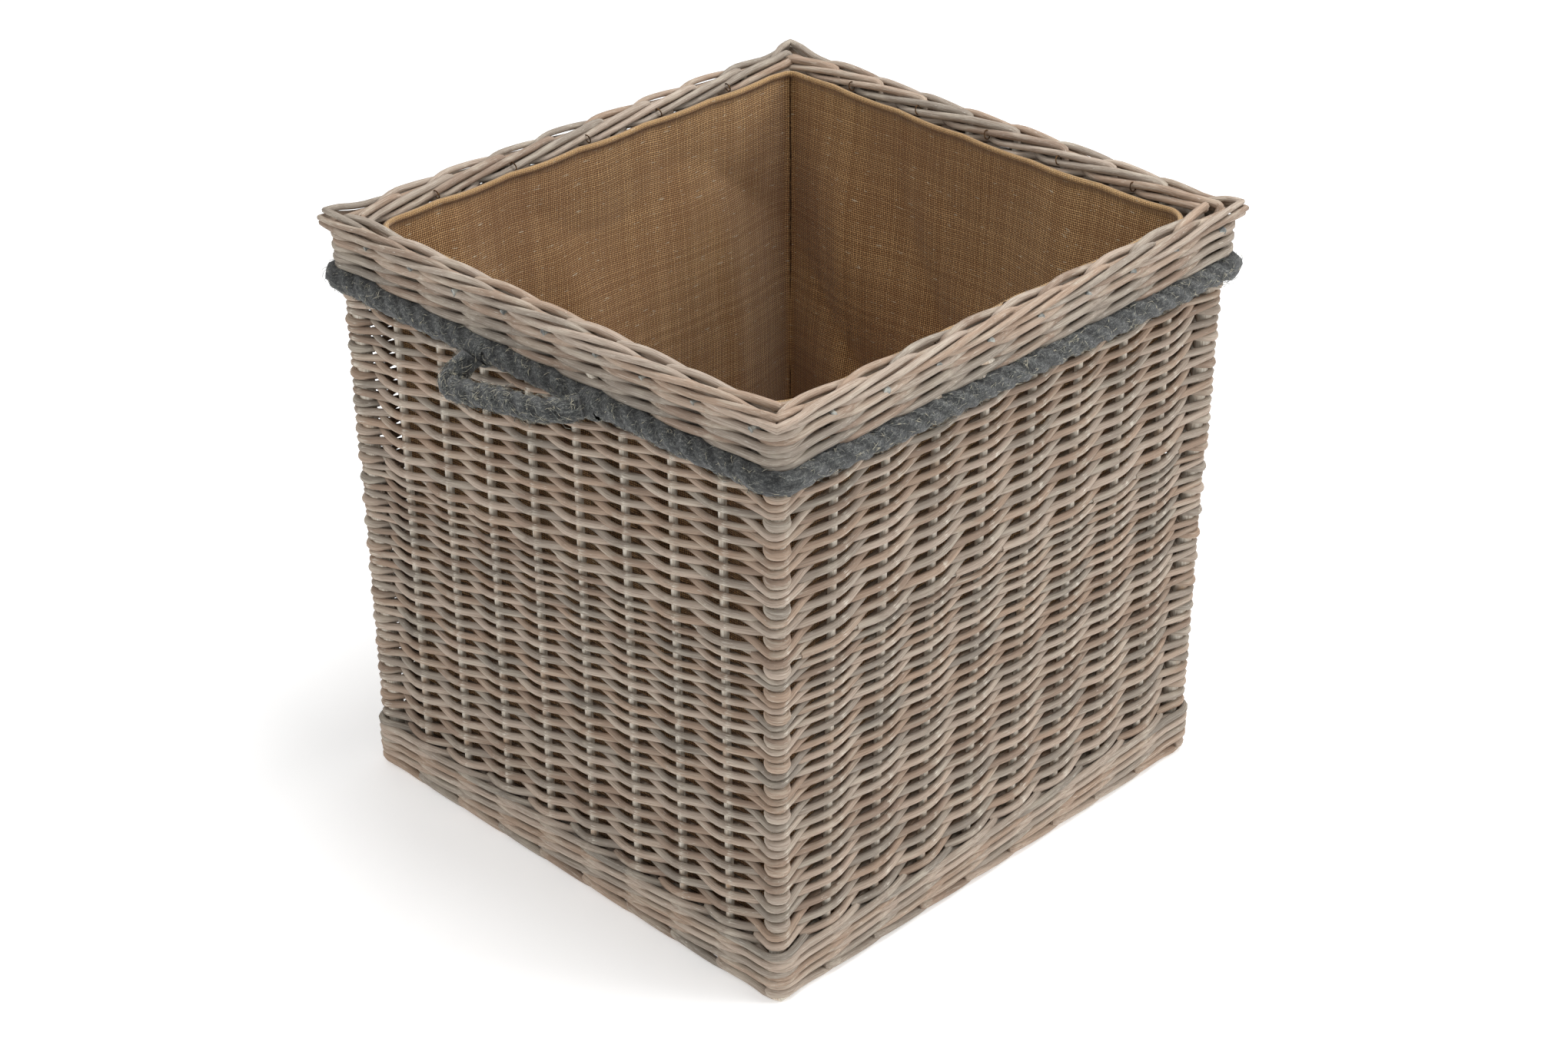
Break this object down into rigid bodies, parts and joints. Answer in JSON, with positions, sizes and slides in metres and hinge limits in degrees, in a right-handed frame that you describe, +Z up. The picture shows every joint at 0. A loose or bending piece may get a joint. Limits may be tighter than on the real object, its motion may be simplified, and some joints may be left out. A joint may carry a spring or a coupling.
{
  "type": "laundry basket woven",
  "caption": "Open-topped square willow basket with French-randed walls, rope band below the rim, hinged rope loop handles and a loose cloth lining.",
  "frame": {"origin": "on the floor under the middle of the basket", "axes": "+Z up; the plain front wall faces -Y and the rope handles hang on the left (-X) and right (+X) walls"},
  "size_m": [0.588, 0.504, 0.5],
  "materials": {
    "willow": "antique-washed split and buff willow rods, matt",
    "willow_stake": "paler unwashed willow, matt",
    "rope": "hairy twisted charcoal rope",
    "lining": "coarse plain-woven golden brown hessian"
  },
  "bodies": {
    "basket": {"foot_border": "willow", "bottom_wale": "willow", "base_weave": "willow", "base_sticks": "willow_stake", "weave_front": "willow", "weave_back": "willow", "weave_left": "willow", "weave_right": "willow", "stakes_front": "willow_stake", "stakes_back": "willow_stake", "stakes_left": "willow_stake", "stakes_right": "willow_stake", "corner_post_front_left": "willow_stake", "corner_post_front_right": "willow_stake", "corner_post_back_left": "willow_stake", "corner_post_back_right": "willow_stake", "top_wale": "willow", "rim_border": "willow", "rope_band": "rope", "lining_walls": "lining", "lining_base": "lining", "lining_hem": "lining", "lining_seams": "lining", "lining_ties": "lining"},
    "left_handle": {"handle_left": "rope"},
    "right_handle": {"handle_right": "rope"}
  },
  "joints": [
    {"name": "left_handle_hinge", "type": "hinge", "parent": "basket", "child": "left_handle", "pos_m": [-0.25296, 0, 0.446], "axis": [0, 1, 0], "range_deg": [-48, 52]},
    {"name": "right_handle_hinge", "type": "hinge", "parent": "basket", "child": "right_handle", "pos_m": [0.25296, 0, 0.446], "axis": [0, -1, 0], "range_deg": [-48, 52]}
  ]
}
